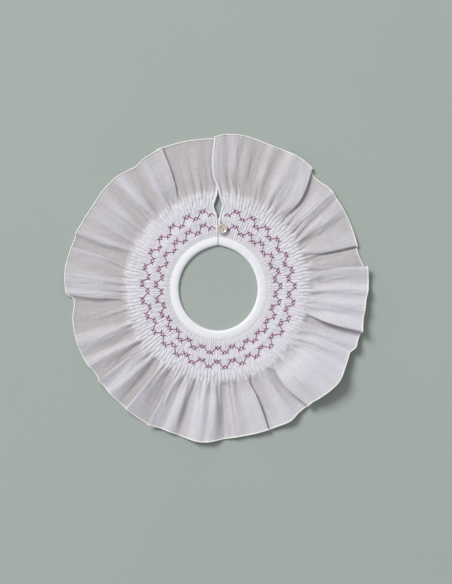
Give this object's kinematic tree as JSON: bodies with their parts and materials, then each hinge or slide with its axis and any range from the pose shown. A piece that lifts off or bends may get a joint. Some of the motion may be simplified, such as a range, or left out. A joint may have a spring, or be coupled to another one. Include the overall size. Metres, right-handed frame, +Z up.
{
  "type": "smocked ruffle collar",
  "caption": "Round child's collar laid flat: a bias-bound neck edge, a smocked yoke and a wide ruffle with a rolled edge, open at the back with a button and a thread loop.",
  "frame": {"origin": "middle of the collar's outline, on the surface that it lies on", "axes": "+Z up out of the surface on the collar's outer face, +Y from the neck towards the back opening, +X to the right"},
  "size_m": [0.3084, 0.3126, 0.0178],
  "materials": {
    "cloth": "fine sheer plain-woven white cotton",
    "band": "close white cotton, bias cut, pressed smooth",
    "button": "polished mother-of-pearl",
    "loop": "white cotton thread"
  },
  "bodies": {
    "root": {"smocked_ruffle": "cloth", "neck_band": "band", "button": "button", "button_loop": "loop"}
  },
  "joints": []
}
